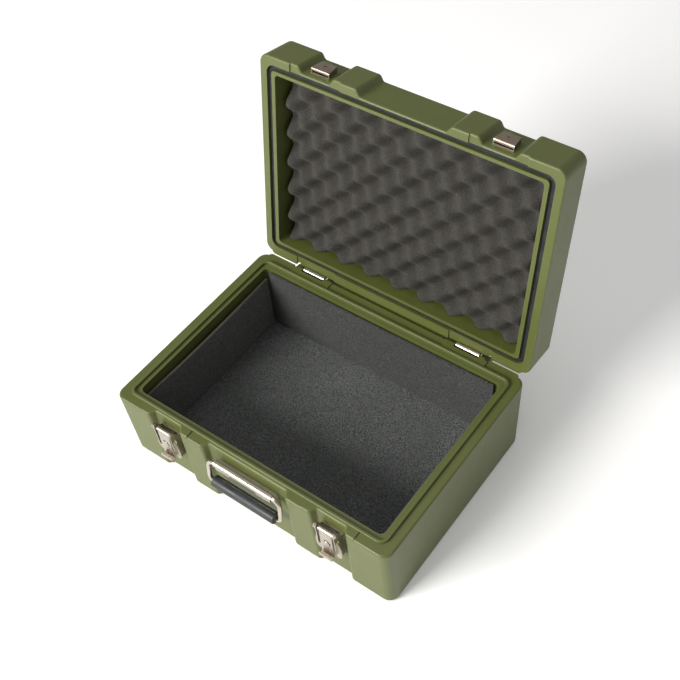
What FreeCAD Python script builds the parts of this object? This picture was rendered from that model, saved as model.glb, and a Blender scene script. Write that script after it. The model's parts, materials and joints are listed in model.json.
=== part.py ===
import FreeCAD, Part
import math, os
import Sketcher

doc = FreeCAD.newDocument("equipment_case")
V = FreeCAD.Vector

# ---------------------------------------------------------------- driving dimensions
sheet = doc.addObject("Spreadsheet::Sheet", "dims")
DIMS = [
    # shell outline (millimetres)
    ("half_width", 225.0), ("half_depth", 161.7), ("base_height", 124.0), ("lid_height", 56.6),
    ("rim_gap", 0.16), ("side_draft", 0.7), ("face_draft", 5.7), ("floor_draft", 2.0),
    ("lid_side_draft", 0.5), ("lid_face_draft", 2.6), ("lid_floor_draft", 1.0),
    ("pocket_floor", 152.0), ("handle_floor_half", 64.0), ("handle_face_half", 70.0),
    ("latch_face_in", 107.0), ("latch_floor_in", 113.0), ("latch_floor_out", 157.0), ("latch_face_out", 163.0),
    ("boss_rear", 165.1), ("boss_half", 159.0), ("boss_ramp", 4.0),
    ("corner_radius", 14.0), ("block_radius", 6.0), ("pocket_radius", 4.0), ("lid_rim_radius", 2.6),
    ("bottom_radius", 5.0), ("rim_radius", 3.0), ("lid_top_radius", 5.0),
    ("step_in", 95.0), ("step_out", 175.0), ("step_rear_in", 98.0), ("step_rear_out", 166.0), ("step_height", 1.8),
    ("ledge_half", 112.0), ("ledge_rear", 174.0), ("ledge_top", 120.9), ("ledge_end_x", 158.8), ("ledge_end_width", 14.4),
    ("lip_rear", 164.2), ("lip_x", 190.2), ("lip_width", 46.0), ("recess_front", 157.6), ("recess_floor", 118.6),
    # cavity, ridge, groove
    ("open_x", 201.0), ("open_y", 137.0), ("open_radius", 8.0), ("cavity_draft", 1.0), ("floor_skin", 7.0),
    ("ridge_x", 209.0), ("ridge_y", 146.4), ("ridge_width", 4.4), ("ridge_height", 3.9), ("ridge_radius", 10.0),
    ("lid_open_x", 200.0), ("lid_open_y", 137.0), ("lid_skin", 5.0),
    ("groove_in_x", 205.5), ("groove_out_x", 213.5), ("groove_in_y", 141.4), ("groove_out_y", 149.4),
    ("groove_depth", 8.0), ("gasket_thick", 3.7), ("gasket_play", 0.05),
    # sealed space between the two skins of a wall
    ("void_in_x", 206.0), ("void_out_x", 219.5), ("void_in_y", 141.5), ("void_front", 146.2), ("void_rear", 152.0),
    ("void_low", 12.0), ("void_high", 115.0), ("lid_void_low", 138.0), ("lid_void_high", 174.0),
    # foam
    ("pad_thick", 5.0), ("pad_play", 0.4), ("side_pad_height", 97.0), ("back_pad_height", 109.0), ("front_pad_height", 95.0),
    ("lid_foam_x", 192.0), ("lid_foam_y", 134.0), ("lid_foam_slab", 20.0), ("bump_height", 21.0),
    ("bump_base", 15.6), ("bump_mid", 9.5), ("bump_top", 3.5), ("bump_pitch", 23.0),
    ("bump_shift_x", 2.7), ("bump_shift_y", 1.56),
    # hinges
    ("hinge_y", 165.07), ("hinge_z", 121.94), ("hinge_x", 132.0), ("knuckle_radius", 3.75), ("hinge_pin_radius", 2.0),
    ("hinge_bore_play", 0.06), ("leaf_half", 18.5), ("leaf_thick", 1.5), ("leaf_drop", 24.0), ("middle_half", 8.0),
    ("knuckle_gap", 0.3), ("relief_radius", 4.3), ("lid_open_angle", 98.53),
    # latch
    ("latch_x", 135.4), ("pivot_z", 115.0), ("pivot_y", -166.0), ("claw_z", 109.0), ("claw_y", -163.9),
    ("plate_thick", 1.5), ("flange_out", 16.6), ("flange_in", 15.1), ("cheek_out", 14.4), ("cheek_in", 12.95),
    ("roll_half", 12.7), ("roll_radius", 3.0), ("claw_pin_radius", 1.6), ("pivot_radius", 1.7), ("pin_play", 0.05),
    ("claw_half", 9.6), ("claw_thick", 1.2), ("rivet_radius", 1.6), ("rivet_head", 3.4),
    ("keeper_x", 135.0), ("keeper_low", 136.8), ("keeper_high", 158.2), ("keeper_low_half", 14.3), ("keeper_high_half", 11.8),
    # handle
    ("barrel_y", -162.5), ("barrel_z", 105.0), ("barrel_radius", 4.75), ("rod_radius", 3.25), ("rod_play", 0.06),
    ("barrel_half", 48.0), ("bail_half", 59.75), ("bail_drop", 38.85), ("bail_tilt", 6.4), ("bail_low_radius", 7.25),
    ("grip_radius", 8.5), ("grip_half", 52.4),
]
VAL = {}
for i, (name, value) in enumerate(DIMS):
    sheet.set("A%d" % (i + 1), name)
    sheet.set("B%d" % (i + 1), "%.6g" % value)
    sheet.setAlias("B%d" % (i + 1), name)
    VAL[name] = float("%.6g" % value)
doc.recompute()


class Q:
    """A length that carries both its value and the sheet expression that drives it."""

    def __init__(self, v, e):
        self.v, self.e = float(v), e

    @staticmethod
    def of(o):
        return o if isinstance(o, Q) else Q(o, "%.6f" % o if o >= 0 else "(%.6f)" % o)

    def __add__(self, o):
        o = Q.of(o)
        return Q(self.v + o.v, "(%s + %s)" % (self.e, o.e))

    __radd__ = __add__

    def __sub__(self, o):
        o = Q.of(o)
        return Q(self.v - o.v, "(%s - %s)" % (self.e, o.e))

    def __rsub__(self, o):
        return Q.of(o) - self

    def __mul__(self, o):
        o = Q.of(o)
        return Q(self.v * o.v, "(%s * %s)" % (self.e, o.e))

    __rmul__ = __mul__

    def __neg__(self):
        return Q(-self.v, "(0 - %s)" % self.e)


D = {k: Q(v, "dims." + k) for k, v in VAL.items()}


def q(name):
    return D[name]


NODES = []


# ---------------------------------------------------------------- sketch and feature helpers
ROLE = {"XY": "XY_Plane", "XZ": "XZ_Plane", "YZ": "YZ_Plane"}


def new_body(name):
    return doc.addObject("PartDesign::Body", name)


def sketch(body, name, plane, off, loops):
    """Fully constrained sketch. A loop is ("circle", cx, cy, r) or a list of points (x, y) or (x, y, r, cx, cy, ccw): an arc from the point before."""
    sk = body.newObject("Sketcher::SketchObject", name)
    support = [f for f in body.Origin.OriginFeatures if f.Role == ROLE[plane]][0]
    sk.AttachmentSupport = (support, "")
    sk.MapMode = "FlatFace"
    off = Q.of(off)
    sk.AttachmentOffset = FreeCAD.Placement(V(0, 0, off.v), FreeCAD.Rotation())
    if off.e[0] != "0":
        sk.setExpression("AttachmentOffset.Base.z", off.e)
    bound = []

    def fix(geo, pos, x, y):
        for kind, w in (("DistanceX", x), ("DistanceY", y)):
            w = Q.of(w)
            if abs(w.v) < 1e-9:
                # on an axis: x = 0 is the vertical axis (-2), y = 0 the horizontal one (-1)
                sk.addConstraint(Sketcher.Constraint("PointOnObject", geo, pos, -2 if kind == "DistanceX" else -1))
            else:
                bound.append((sk.addConstraint(Sketcher.Constraint(kind, -1, 1, geo, pos, w.v)), w.e))

    for loop in loops:
        if loop[0] == "circle":
            _, cx, cy, r = loop
            cx, cy, r = Q.of(cx), Q.of(cy), Q.of(r)
            g = sk.addGeometry(Part.Circle(V(cx.v, cy.v, 0), V(0, 0, 1), r.v), False)
            fix(g, 3, cx, cy)
            bound.append((sk.addConstraint(Sketcher.Constraint("Radius", g, r.v)), r.e))
            continue
        pts = [tuple(Q.of(a) if k < 5 and not isinstance(a, bool) else a for k, a in enumerate(p)) for p in loop]
        n = len(pts)
        geos = []
        for i in range(n):
            a, b = pts[i], pts[(i + 1) % n]
            if len(b) > 2:
                r, cx, cy, ccw = b[2].v, b[3].v, b[4].v, b[5]
                a0 = math.atan2(a[1].v - cy, a[0].v - cx)
                a1 = math.atan2(b[1].v - cy, b[0].v - cx)
                circ = Part.Circle(V(cx, cy, 0), V(0, 0, 1), r)
                g = sk.addGeometry(Part.ArcOfCircle(circ, a0, a1) if ccw else Part.ArcOfCircle(circ, a1, a0), False)
                geos.append((g, 1 if ccw else 2, 2 if ccw else 1, b[2]))
            else:
                g = sk.addGeometry(Part.LineSegment(V(a[0].v, a[1].v, 0), V(b[0].v, b[1].v, 0)), False)
                geos.append((g, 1, 2, None))
        for i in range(n):
            g, s, e, r = geos[i]
            h, s2, e2, r2 = geos[(i + 1) % n]
            sk.addConstraint(Sketcher.Constraint("Coincident", g, e, h, s2))
        for i in range(n):
            g, s, e, r = geos[i]
            fix(g, s, pts[i][0], pts[i][1])
            if r is not None:
                bound.append((sk.addConstraint(Sketcher.Constraint("Radius", g, r.v)), r.e))
    for idx, ex in bound:
        if "dims" in ex:
            sk.setExpression("Constraints[%d]" % idx, ex)
    return sk


def feature(body, kind, name, sk, length=None, mid=False, rev=False, through=False):
    f = body.newObject("PartDesign::" + kind, name)
    f.Profile = sk
    if through:
        f.Type = "ThroughAll"
    if length is not None:
        length = Q.of(length)
        f.Length = length.v
        if "dims" in length.e:
            f.setExpression("Length", length.e)
    if mid:
        try:
            f.Midplane = True
        except Exception:
            f.SideType = "Symmetric"
    if rev:
        f.Reversed = True
    body.Tip = f
    doc.recompute()
    return f


def pick(shape, test):
    names = []
    for i, e in enumerate(shape.Edges):
        if e.Length < 1e-4:
            continue
        pts = [e.valueAt(e.FirstParameter + (e.LastParameter - e.FirstParameter) * k / 4.0) for k in range(5)]
        if test(pts, e):
            names.append("Edge%d" % (i + 1))
    return names


def round_edges(body, name, radius, test, kind="Fillet"):
    tip = body.Tip
    names = pick(tip.Shape, test)
    assert names, name
    f = body.newObject("PartDesign::" + kind, name)
    f.Base = (tip, names)
    radius = Q.of(radius)
    prop = "Radius" if kind == "Fillet" else "Size"
    setattr(f, prop, radius.v)
    if "dims" in radius.e:
        f.setExpression(prop, radius.e)
    body.Tip = f
    doc.recompute()
    if f.Shape.isNull() or not f.Shape.isValid() or "Invalid" in f.State:
        raise RuntimeError("rounding failed: " + name)
    return f


def vertical(pts):
    return abs(pts[0].z - pts[-1].z) > 5 and math.hypot(pts[0].x - pts[-1].x, pts[0].y - pts[-1].y) < 9


def flat_at(z):
    return lambda pts: all(abs(p.z - z) < 1e-3 for p in pts)


def rrect(x0, x1, y0, y1, r):
    """Rounded rectangle as a sketch loop, anticlockwise from the lower left."""
    x0, x1, y0, y1, r = (Q.of(a) for a in (x0, x1, y0, y1, r))
    return [
        (x0 + r, y0, r, x0 + r, y0 + r, True), (x1 - r, y0), (x1, y0 + r, r, x1 - r, y0 + r, True), (x1, y1 - r),
        (x1 - r, y1, r, x1 - r, y1 - r, True), (x0 + r, y1), (x0, y1 - r, r, x0 + r, y1 - r, True), (x0, y0 + r),
    ]


def box(name, x0, x1, y0, y1, z0, z1):
    b = doc.addObject("Part::Box", name)
    x0, x1, y0, y1, z0, z1 = (Q.of(a) for a in (x0, x1, y0, y1, z0, z1))
    for prop, w in (("Length", x1 - x0), ("Width", y1 - y0), ("Height", z1 - z0)):
        setattr(b, prop, w.v)
        if "dims" in w.e:
            b.setExpression(prop, w.e)
    b.Placement.Base = V(x0.v, y0.v, z0.v)
    for ax, w in (("x", x0), ("y", y0), ("z", z0)):
        if "dims" in w.e:
            b.setExpression("Placement.Base." + ax, w.e)
    return b


def cyl(name, r, length, at, axis, start=0):
    """Cylinder of radius r along axis X, Y or Z, its first end at `at`."""
    c = doc.addObject("Part::Cylinder", name)
    r, length = Q.of(r), Q.of(length)
    c.Radius, c.Height = r.v, length.v
    if "dims" in r.e:
        c.setExpression("Radius", r.e)
    if "dims" in length.e:
        c.setExpression("Height", length.e)
    rot = {"X": FreeCAD.Rotation(V(0, 1, 0), 90), "Y": FreeCAD.Rotation(V(1, 0, 0), -90), "Z": FreeCAD.Rotation()}[axis]
    at = [Q.of(a) for a in at]
    c.Placement = FreeCAD.Placement(V(*[a.v for a in at]), rot)
    for ax, w in zip("xyz", at):
        if "dims" in w.e:
            c.setExpression("Placement.Base." + ax, w.e)
    return c


def fuse(name, parts):
    f = doc.addObject("Part::MultiFuse", name)
    f.Shapes = parts
    f.Refine = True
    return f


def cut(name, a, b):
    f = doc.addObject("Part::Cut", name)
    f.Base, f.Tool = a, b
    f.Refine = True
    return f


def common(name, a, b):
    f = doc.addObject("Part::MultiCommon", name)
    f.Shapes = [a, b]
    f.Refine = True
    return f


def place_x(obj, x):
    x = Q.of(x)
    obj.Placement.Base = V(x.v, obj.Placement.Base.y, obj.Placement.Base.z)
    obj.setExpression("Placement.Base.x", x.e)


OPEN = FreeCAD.Rotation(V(1, 0, 0), -VAL["lid_open_angle"])
PIVOT = V(0, VAL["hinge_y"], VAL["hinge_z"])


def open_lid(obj):
    """Carries an object drawn with the lid shut to where it stands with the lid open."""
    swing = FreeCAD.Placement(PIVOT - OPEN.multVec(PIVOT), OPEN)
    obj.Placement = swing.multiply(obj.Placement)


def node(obj, label):
    obj.Label = label
    NODES.append((label, obj))
    return obj


# ---------------------------------------------------------------- the two shells
def wedge(name, low, high, z0, z1):
    """Block whose plan rectangle (x0, x1, y0, y1) changes from `low` at z0 to `high` at z1."""
    w = doc.addObject("Part::Wedge", name)
    a, b = [Q.of(k) for k in low], [Q.of(k) for k in high]
    z0, z1 = Q.of(z0), Q.of(z1)
    # the primitive's own Y runs up and its own Z runs towards the front
    for prop, k in (
        ("Xmin", a[0]), ("Xmax", a[1]), ("Zmin", -a[3]), ("Zmax", -a[2]), ("Ymin", z0), ("Ymax", z1),
        ("X2min", b[0]), ("X2max", b[1]), ("Z2min", -b[3]), ("Z2max", -b[2]),
    ):
        setattr(w, prop, k.v)
        if "dims" in k.e:
            w.setExpression(prop, k.e)
    w.Placement = FreeCAD.Placement(V(0, 0, 0), FreeCAD.Rotation(V(1, 0, 0), 90))
    return w


def recess(name, y0, x0a, x1a, y1, x0b, x1b, z_hinge, tilt, y_hinge):
    """Tool with a trapezium plan: x from x0a to x1a at y0 and x0b to x1b at y1, leaned by `tilt` degrees about the line (y_hinge, z_hinge)."""
    w = doc.addObject("Part::Wedge", name)
    for prop, k in (
        ("Xmin", x0a), ("Xmax", x1a), ("Ymin", y0), ("Ymax", y1), ("X2min", x0b), ("X2max", x1b),
        ("Zmin", -20.0), ("Zmax", 220.0), ("Z2min", -20.0), ("Z2max", 220.0),
    ):
        k = Q.of(k)
        setattr(w, prop, k.v)
        if "dims" in k.e:
            w.setExpression(prop, k.e)
    rot = FreeCAD.Rotation(V(1, 0, 0), tilt)
    at = V(0, Q.of(y_hinge).v, Q.of(z_hinge).v)
    w.Placement = FreeCAD.Placement(at - rot.multVec(at), rot)
    return w


def shell_outer(name, is_lid, lift=0.0):
    """Drafted outer form: handle pocket in the middle of the front, a latch pocket each side of it, a shallow boss at the back, all edges rounded."""
    hw, hd, rear = q("half_width"), q("half_depth"), q("boss_rear")
    full = (-hw, hw, -hd, rear)
    if is_lid:
        low, high = q("base_height") + q("rim_gap"), q("base_height") + q("rim_gap") + q("lid_height")
        sd, fd, tall = q("lid_side_draft"), q("lid_face_draft"), VAL["lid_height"]
        hull = wedge(name + "_hull", full, (-hw + sd, hw - sd, -hd + fd, rear - fd), low, high)
        z_rim, lean_floor = low, -math.degrees(math.atan2(VAL["lid_floor_draft"], tall))
        lean_rear = math.degrees(math.atan2(VAL["lid_face_draft"], tall))
    else:
        low, high = Q.of(0.0), q("base_height")
        sd, fd, tall = q("side_draft"), q("face_draft"), VAL["base_height"]
        hull = wedge(name + "_hull", (-hw + sd, hw - sd, -hd + fd, rear - fd), full, low, high)
        z_rim, lean_floor = high, math.degrees(math.atan2(VAL["floor_draft"], tall))
        lean_rear = -math.degrees(math.atan2(VAL["face_draft"], tall))
    fl = q("pocket_floor")
    # how far the slanted sides spread per millimetre of depth
    sh = (VAL["handle_face_half"] - VAL["handle_floor_half"]) / (VAL["half_depth"] - VAL["pocket_floor"])
    sl = (VAL["latch_floor_in"] - VAL["latch_face_in"]) / (VAL["half_depth"] - VAL["pocket_floor"])
    reach = 18.0
    hc, b, c = q("handle_floor_half"), q("latch_floor_in"), q("latch_floor_out")
    tools = [
        recess(name + "_hp", -fl - reach, -hc - sh * reach, hc + sh * reach, -fl, -hc, hc, z_rim, lean_floor, -fl),
        recess(name + "_lr", -fl - reach, b - sl * reach, c + sl * reach, -fl, b, c, z_rim, lean_floor, -fl),
        recess(name + "_ll", -fl - reach, -c - sl * reach, -b + sl * reach, -fl, -c, -b, z_rim, lean_floor, -fl),
    ]
    sr = VAL["boss_ramp"] / (VAL["boss_rear"] - VAL["half_depth"])
    br = q("boss_half") + q("boss_ramp")
    tools += [
        recess(name + "_cr", hd, br, 260.0, hd + 10.0, br - sr * 10.0, 260.0, z_rim, lean_rear, hd),
        recess(name + "_cl", hd, -260.0, -br, hd + 10.0, -260.0, -br + sr * 10.0, z_rim, lean_rear, hd),
    ]
    form = cut(name + "_form", hull, fuse(name + "_tools", tools))
    form.Refine = False
    doc.recompute()
    body = new_body(name)
    body.BaseFeature = form
    doc.recompute()

    def corner(p, e):
        return vertical(p) and abs(p[2].x) > 200

    def block(p, e):
        return vertical(p) and abs(p[2].x) < 200 and p[2].y < -153.5

    def inner(p, e):
        return vertical(p) and abs(p[2].x) < 200 and -153.5 < p[2].y < -140

    round_edges(body, name + "_corners", q("corner_radius"), corner)
    round_edges(body, name + "_blocks", q("block_radius"), block)
    round_edges(body, name + "_pockets", q("pocket_radius"), inner)
    bottom, top = (q("lid_rim_radius"), q("lid_top_radius")) if is_lid else (q("bottom_radius"), q("rim_radius"))
    low_flat, high_flat = flat_at(low.v), flat_at(high.v)
    round_edges(body, name + "_low_edge", bottom, lambda p, e: low_flat(p))
    round_edges(body, name + "_high_edge", top, lambda p, e: high_flat(p))
    if lift:
        lift = Q.of(lift)
        body.Placement.Base = V(0, 0, lift.v)
        body.setExpression("Placement.Base.z", lift.e)
    return body


def loft_block(name, z0, z1, loop0, loop1):
    body = new_body(name)
    a = sketch(body, name + "_a", "XY", z0, [loop0])
    b = sketch(body, name + "_b", "XY", z1, [loop1])
    loft = body.newObject("PartDesign::AdditiveLoft", name + "_loft")
    loft.Profile = a
    loft.Sections = [b]
    loft.Ruled = True
    body.Tip = loft
    doc.recompute()
    return body


def ring(name, z0, height, outer, inner):
    body = new_body(name)
    sk = sketch(body, name + "_s", "XY", z0, [outer, inner])
    feature(body, "Pad", name + "_p", sk, height)
    return body


def sym(x, y, r):
    return rrect(-x, x, -y, y, r)


rim = q("base_height")
lid_rim = q("base_height") + q("rim_gap")
lid_top = lid_rim + q("lid_height")

base_outer = shell_outer("base_outer", False)
base_raised = shell_outer("base_raised", False, q("step_height"))
lid_outer = shell_outer("lid_outer", True)
lid_raised = shell_outer("lid_raised", True, q("step_height") + 0.05)


def step_boxes(tag, z0, z1, grow):
    tools = []
    for side, y0, y1, a, b in (("f", -175.0, -148.0, "step_in", "step_out"), ("b", 148.0, 175.0, "step_rear_in", "step_rear_out")):
        for s, lo, hi in (("r", q(a) - grow, q(b) + grow), ("l", -q(b) - grow, -q(a) + grow)):
            tools.append(box("step_%s_%s%s" % (tag, side, s), lo, hi, y0, y1, z0, z1))
    return fuse("steps_" + tag, tools)


# locating steps beside each latch and each hinge: raised on the base, let into the lid
base_steps = common("base_steps", base_raised, step_boxes("base", rim - 6.0, rim + 4.0, 0.0))
lid_steps = common("lid_steps", lid_raised, step_boxes("lid", lid_rim - 2.0, lid_rim + 9.0, 0.4))
lid_notched = cut("lid_notched", lid_outer, step_boxes("lid_cut", lid_rim - 2.0, lid_rim + 9.0, 0.4))

rw = q("ridge_width") * 0.5
ridge = ring(
    "ridge", rim - 1.0, q("ridge_height") + 1.0,
    sym(q("ridge_x") + rw, q("ridge_y") + rw, q("ridge_radius") + rw),
    sym(q("ridge_x") - rw, q("ridge_y") - rw, q("ridge_radius") - rw),
)
round_edges(ridge, "ridge_round", 1.3, lambda p, e: flat_at(VAL["base_height"] + VAL["ridge_height"])(p))

base_cavity = loft_block(
    "base_cavity", q("floor_skin"), rim + 6.0,
    sym(q("open_x") - q("cavity_draft"), q("open_y") - q("cavity_draft"), q("open_radius")),
    sym(q("open_x"), q("open_y"), q("open_radius")),
)
lid_cavity = loft_block(
    "lid_cavity", lid_rim - 4.0, lid_top - q("lid_skin"),
    sym(q("lid_open_x"), q("lid_open_y"), 6.0),
    sym(q("lid_open_x") - q("cavity_draft"), q("lid_open_y") - q("cavity_draft"), 6.0),
)
lid_groove = ring(
    "lid_groove", lid_rim - 4.0, q("groove_depth") + 4.0,
    sym(q("groove_out_x"), q("groove_out_y"), 12.5), sym(q("groove_in_x"), q("groove_in_y"), 5.0),
)
base_void = ring(
    "base_void", q("void_low"), q("void_high") - q("void_low"),
    rrect(-q("void_out_x"), q("void_out_x"), -q("void_front"), q("void_rear"), 14.0),
    sym(q("void_in_x"), q("void_in_y"), 6.0),
)
lid_void = ring(
    "lid_void", q("lid_void_low"), q("lid_void_high") - q("lid_void_low"),
    rrect(-q("void_out_x"), q("void_out_x"), -q("void_front"), q("void_rear"), 14.0),
    sym(q("void_in_x"), q("void_in_y"), 6.0),
)

# seats that bring the drafted pocket floors flush behind the hardware
fl = q("pocket_floor")
base_seats = [
    box("latch_seat_r", q("latch_x") - 18.0, q("latch_x") + 18.0, -fl, -fl + 3.5, 56.0, 106.0),
    box("latch_seat_l", -q("latch_x") - 18.0, -q("latch_x") + 18.0, -fl, -fl + 3.5, 56.0, 106.0),
    box("handle_seat", -50.0, 50.0, -fl, -fl + 3.5, 76.0, 108.5),
]
lid_seats = [
    box("keeper_seat_r", q("keeper_x") - 16.0, q("keeper_x") + 16.0, -fl, -fl + 3.0, 128.6, 160.0),
    box("keeper_seat_l", -q("keeper_x") - 16.0, -q("keeper_x") + 16.0, -fl, -fl + 3.0, 128.6, 160.0),
]

# fastener places: (x, z) in the front wall or the back wall
RV = q("rivet_radius")
latch_rivets = [(dx, dz) for dx in (-8.0, 8.0) for dz in (99.0, 70.0)]
hinge_low = [(-11.0, 105.5), (11.0, 105.5)]
hinge_high = [(-11.0, 138.0), (11.0, 138.0)]
bracket_rivets = [(-38.0, 86.0), (0.0, 86.0), (38.0, 86.0)]
keeper_rivet = 149.5


def sides(name):
    return (("r", q(name)), ("l", -q(name)))


base_holes, lid_holes = [], []
for tag, x in sides("latch_x"):
    for k, (dx, z) in enumerate(latch_rivets):
        base_holes.append(cyl("h_latch_%s%d" % (tag, k), RV, 6.0, (x + dx, -fl - 1.0, z), "Y"))
for k, (dx, z) in enumerate(bracket_rivets):
    base_holes.append(cyl("h_bracket_%d" % k, RV, 6.0, (dx, -fl - 1.0, z), "Y"))
for tag, x in sides("hinge_x"):
    for k, (dx, z) in enumerate(hinge_low):
        base_holes.append(cyl("h_hinge_%s%d" % (tag, k), RV, 8.0, (x + dx, q("boss_rear") - 7.0, z), "Y"))
    for k, (dx, z) in enumerate(hinge_high):
        lid_holes.append(cyl("h_lidhinge_%s%d" % (tag, k), RV, 8.0, (x + dx, q("boss_rear") - 7.0, z), "Y"))
    base_holes.append(box("knuckle_recess_" + tag, x - q("leaf_half") - 0.8, x + q("leaf_half") + 0.8, q("recess_front"), 168.0, q("recess_floor"), 127.0))
    base_holes.append(cyl("relief_base_" + tag, q("relief_radius"), q("leaf_half") * 2 + 1.6, (x - q("leaf_half") - 0.8, q("hinge_y"), q("hinge_z")), "X"))
    lid_holes.append(cyl("relief_lid_" + tag, q("relief_radius"), q("leaf_half") * 2 + 1.6, (x - q("leaf_half") - 0.8, q("hinge_y"), q("hinge_z")), "X"))
for tag, x in sides("keeper_x"):
    lid_holes.append(cyl("h_keeper_" + tag, RV, 6.0, (x, -fl - 1.0, keeper_rivet), "Y"))

# flat vertical seats for the hinge leaves on the drafted rear bosses
hinge_seats_base, hinge_seats_lid = [], []
for tag, x in sides("hinge_x"):
    hinge_seats_base.append(box("hinge_seat_" + tag, x - q("leaf_half") - 1.0, x + q("leaf_half") + 1.0, q("boss_rear") - 4.5, q("boss_rear"), 97.0, 120.0))
    hinge_seats_lid.append(box("lid_hinge_seat_" + tag, x - q("leaf_half") - 1.0, x + q("leaf_half") + 1.0, q("boss_rear") - 4.5, q("boss_rear"), 127.3, 147.0))

# ledge across the rear boss, just under the open lid, broken only by the hinges
lr, lt_ = q("ledge_rear"), q("ledge_top")


def ledge(name, width, x):
    b = new_body(name)
    feature(b, "Pad", name + "_p", sketch(b, name + "_s", "YZ", 0.0, [[
        (158.0, lt_), (lr - 9.0, lt_), (lr - 1.2, lt_ - 1.2), (lr, lt_ - 2.4), (lr, lt_ - 8.0), (163.0, lt_ - 18.0), (158.0, lt_ - 18.0)]]), width, mid=True)
    place_x(b, x)
    return b


ledges = [
    ledge("rear_ledge", q("ledge_half") * 2, 0.0),
    ledge("rear_ledge_r", q("ledge_end_width"), q("ledge_end_x")),
    ledge("rear_ledge_l", q("ledge_end_width"), -q("ledge_end_x")),
]


# square lips along the rear of both rims, so shell and lid meet close along the hinge line
def lip(name, z_low, height, x):
    b = new_body(name)
    y, w = q("lip_rear"), q("lip_width") * 0.5
    out = 1.0 if x.v > 0 else -1.0
    plan = [(-w * out, 156.0), (w * out, 156.0), (w * out, y - 2.8), (w * out - 3.4 * out, y), (-w * out, y)]
    feature(b, "Pad", name + "_p", sketch(b, name + "_s", "XY", z_low, [plan]), height)
    place_x(b, x)
    return b


base_lips = [lip("base_lip_" + t, rim - 5.0, 5.0, x) for t, x in sides("lip_x")]
lid_lips = [lip("lid_lip_" + t, lid_rim, 5.0, x) for t, x in sides("lip_x")]
base_solid = fuse("base_solid", [base_outer, base_steps, ridge] + ledges + base_lips + base_seats + hinge_seats_base)
base_shell = cut("base_shell", base_solid, fuse("base_removed", [base_cavity, base_void] + base_holes))
lid_solid = fuse("lid_solid", [lid_notched, lid_steps] + lid_lips + lid_seats + hinge_seats_lid)
lid_shell = cut("lid_shell", lid_solid, fuse("lid_removed", [lid_cavity, lid_groove, lid_void] + lid_holes))
node(base_shell, "base_shell")
node(lid_shell, "lid_shell")

# ---------------------------------------------------------------- gasket
gp = q("gasket_play")
gasket = ring(
    "lid_gasket", lid_rim + q("groove_depth") - q("gasket_thick"), q("gasket_thick"),
    sym(q("groove_out_x") - gp, q("groove_out_y") - gp, 12.45), sym(q("groove_in_x") + gp, q("groove_in_y") + gp, 5.05),
)
round_edges(gasket, "gasket_round", 1.1, lambda p, e: flat_at(VAL["base_height"] + VAL["rim_gap"] + VAL["groove_depth"] - VAL["gasket_thick"])(p))
node(gasket, "lid_gasket")

# ---------------------------------------------------------------- foam liners of the base
ox, oy, cd, pp, pt = q("open_x"), q("open_y"), q("cavity_draft"), q("pad_play"), q("pad_thick")
ix, iy = ox - cd - pp, oy - cd - pp
z_floor = q("floor_skin")


def pad_box(name, x0, x1, y0, y1, z0, z1):
    b = box(name, x0, x1, y0, y1, z0, z1)
    return node(b, name)


def pad_body(name, loop, z0, height):
    body = new_body(name)
    feature(body, "Pad", name + "_p", sketch(body, name + "_s", "XY", z0, [loop]), height)
    return node(body, name)


pad_body("foam_floor", sym(ix, iy, 7.0), z_floor, pt)
zt = z_floor + pt
in_y = iy - pt - 0.2
pad_body("foam_left", rrect(-ix, -ix + pt, -in_y, in_y, 1.2), zt, q("side_pad_height"))
pad_body("foam_right", rrect(ix - pt, ix, -in_y, in_y, 1.2), zt, q("side_pad_height"))
pad_body("foam_back", rrect(-ix + 7.0, ix - 7.0, iy - pt, iy, 1.2), zt, q("back_pad_height"))
pad_body("foam_front", rrect(-ix + 7.0, ix - 7.0, -iy, -iy + pt, 1.2), zt, q("front_pad_height"))

# ---------------------------------------------------------------- egg-crate foam in the lid
lf = new_body("lid_foam")
slab_top = lid_top - q("lid_skin") - 0.1
slab_low = slab_top - q("lid_foam_slab")
feature(lf, "Pad", "lid_foam_slab_p", sketch(lf, "lid_foam_s", "XY", slab_low, [sym(q("lid_foam_x"), q("lid_foam_y"), 5.0)]), q("lid_foam_slab"))
pitch = q("bump_pitch")
bump_tip = slab_low - q("bump_height")
bumps = []
cols = range(-8, 10)
for c in cols:
    rows = range(-3, 4) if c % 2 == 0 else range(-4, 3)
    for r_ in rows:
        y = (r_ * 2.0 if c % 2 == 0 else r_ * 2.0 + 1.0) * VAL["bump_pitch"] + VAL["bump_shift_y"]
        x = c * VAL["bump_pitch"] - VAL["bump_shift_x"]
        if abs(x) > VAL["lid_foam_x"] - 4.5 or abs(y) > VAL["lid_foam_y"] - 4.5:
            continue
        bumps.append((c, r_, x, y))
# one bump, turned once and repeated over both lattices
one = new_body("bump")
prof = sketch(one, "bump_s", "XZ", 0.0, [[
    (0.0, slab_low + 1.0), (0.0, bump_tip), (q("bump_top"), bump_tip), (q("bump_mid"), bump_tip + q("bump_height") * 0.4),
    (q("bump_base") - 2.0, slab_low - 3.0), (q("bump_base"), slab_low), (q("bump_base"), slab_low + 1.0),
]])
rev = one.newObject("PartDesign::Revolution", "bump_rev")
rev.Profile = prof
rev.ReferenceAxis = (prof, ["V_Axis"])
rev.Angle = 360
one.Tip = rev
doc.recompute()
block = box("bump_bounds", -q("lid_foam_x"), q("lid_foam_x"), -q("lid_foam_y"), q("lid_foam_y"), bump_tip - 1.0, slab_low + 0.5)
field = doc.addObject("Part::Feature", "bump_field")
field.Shape = Part.makeCompound([one.Shape.translated(V(x, y, 0)) for c, r_, x, y in bumps])
trimmed = doc.addObject("Part::MultiCommon", "bump_trim")
trimmed.Shapes = [field, block]
lid_foam = fuse("lid_foam_all", [lf, trimmed])
node(lid_foam, "lid_foam")

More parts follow.
